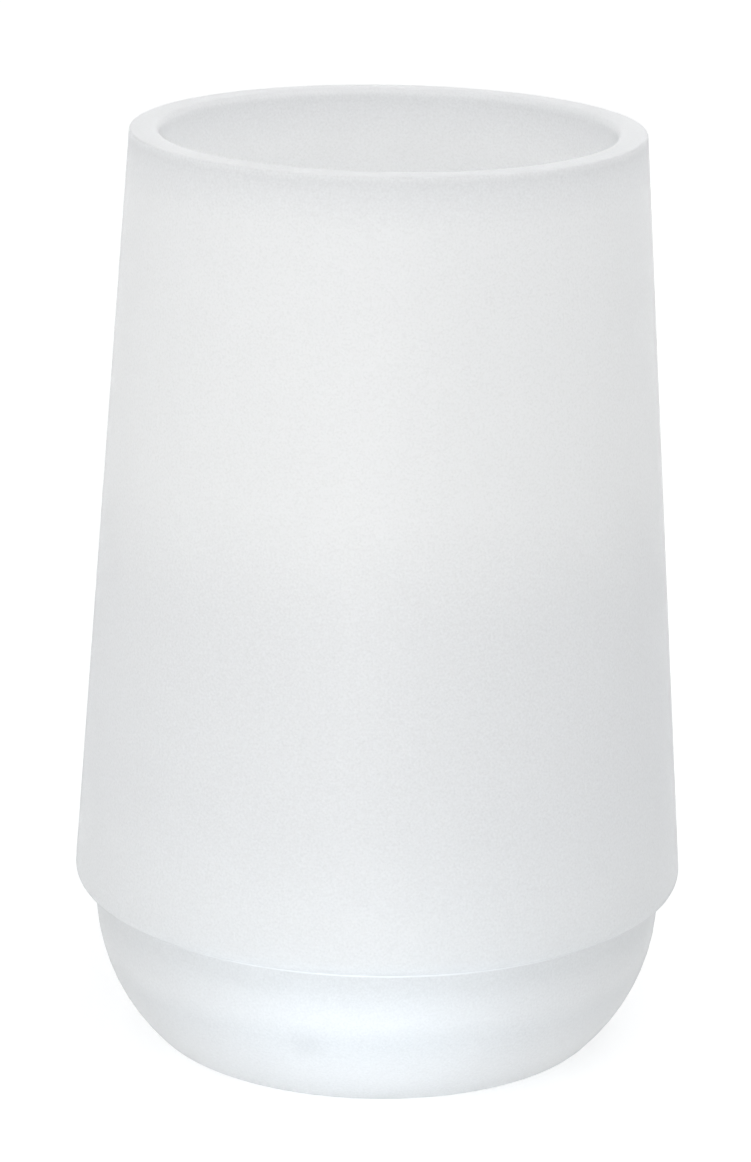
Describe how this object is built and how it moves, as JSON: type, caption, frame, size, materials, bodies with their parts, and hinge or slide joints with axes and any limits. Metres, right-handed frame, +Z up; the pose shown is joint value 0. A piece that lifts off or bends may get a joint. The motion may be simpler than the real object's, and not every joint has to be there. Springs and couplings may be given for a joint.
{
  "type": "bathroom tumbler",
  "caption": "Frosted glass tumbler: a tapered open sleeve with a rounded shoulder, bonded over a bowl-shaped base that stands on a flat foot or sits in a ring holder.",
  "frame": {"origin": "on the rest plane, under the middle of the foot ring", "axes": "+Z up along the axis of the tumbler, towards the rim; X and Y are any two directions across it"},
  "size_m": [0.073, 0.073, 0.11],
  "materials": {
    "satin_glass": "acid-frosted, satin",
    "clear_bond": "clear cured adhesive"
  },
  "bodies": {
    "root": {"tapered_sleeve": "satin_glass", "base_cup": "satin_glass", "bond_ring": "clear_bond"}
  },
  "joints": []
}
